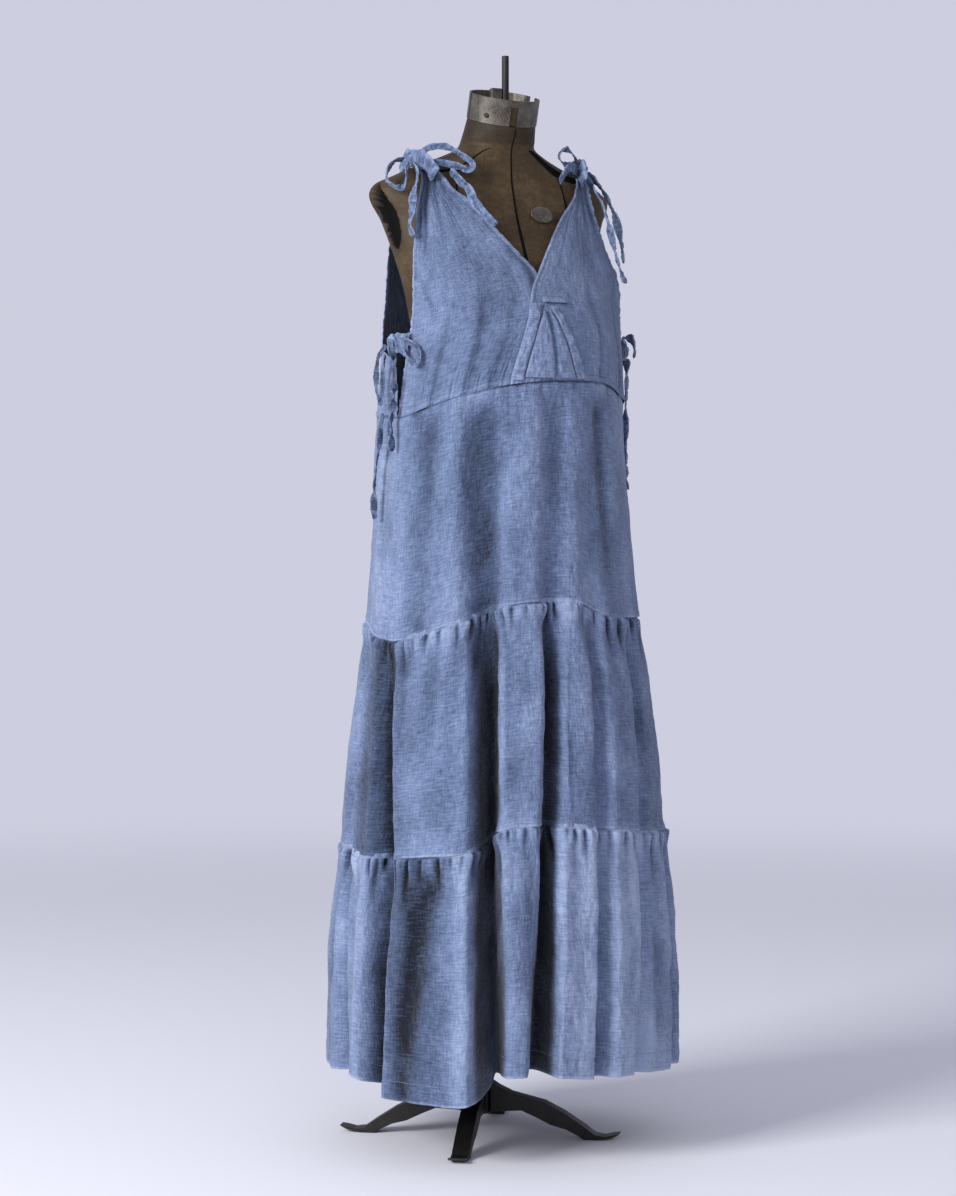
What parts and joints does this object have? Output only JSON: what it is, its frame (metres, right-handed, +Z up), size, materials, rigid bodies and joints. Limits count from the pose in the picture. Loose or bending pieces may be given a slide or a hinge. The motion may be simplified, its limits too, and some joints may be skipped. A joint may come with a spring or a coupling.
{
  "type": "sundress on a dress form",
  "caption": "Sleeveless tiered maxi sundress with a wrapped V neck and cloth ties at shoulders and underarms, standing on a limbless dress form with a cast iron foot.",
  "frame": {"origin": "on the floor, below the middle of the whole object's box", "axes": "+Z up, the garment's front faces -Y, the wearer's right is -X"},
  "size_m": [0.4956, 0.4784, 1.52],
  "materials": {
    "chambray": "faded blue woven chambray, slubbed and crumpled",
    "form_body": "worn brown paint over a moulded shell",
    "collar_metal": "dull worn steel gone brown",
    "cast_iron": "black japanned cast iron"
  },
  "bodies": {
    "root": {"bodice_front_right": "chambray", "bodice_front_left": "chambray", "wrap_band": "chambray", "bust_inset": "chambray", "inset_band": "chambray", "inset_bar": "chambray", "bodice_back": "chambray", "waist_front": "chambray", "waist_back": "chambray", "tier_one_front": "chambray", "tier_one_back": "chambray", "tier_two_front": "chambray", "tier_two_back": "chambray", "shoulder_knot_right": "chambray", "shoulder_knot_left": "chambray", "side_knot_right": "chambray", "side_knot_left": "chambray", "shoulder_right_ring": "chambray", "shoulder_right_loop": "chambray", "shoulder_right_tail": "chambray", "shoulder_right_neck_tail": "chambray", "shoulder_left_loop": "chambray", "shoulder_left_stub": "chambray", "shoulder_left_tail_front": "chambray", "shoulder_left_tail_side": "chambray", "side_right_loop": "chambray", "side_right_twisted_tail": "chambray", "side_right_rear_loop": "chambray", "side_right_thin_tail": "chambray", "side_left_stub": "chambray", "side_left_tail": "chambray", "form_torso": "form_body", "neck_plate": "form_body", "collar_band_right": "collar_metal", "collar_band_left": "collar_metal", "collar_band_rear": "collar_metal", "collar_screw": "cast_iron", "rod": "cast_iron", "rod_tab": "collar_metal", "badge_plate": "collar_metal", "foot_hub": "cast_iron", "pole": "cast_iron", "leg_1": "cast_iron", "leg_2": "cast_iron", "leg_3": "cast_iron", "leg_4": "cast_iron"}
  },
  "joints": []
}
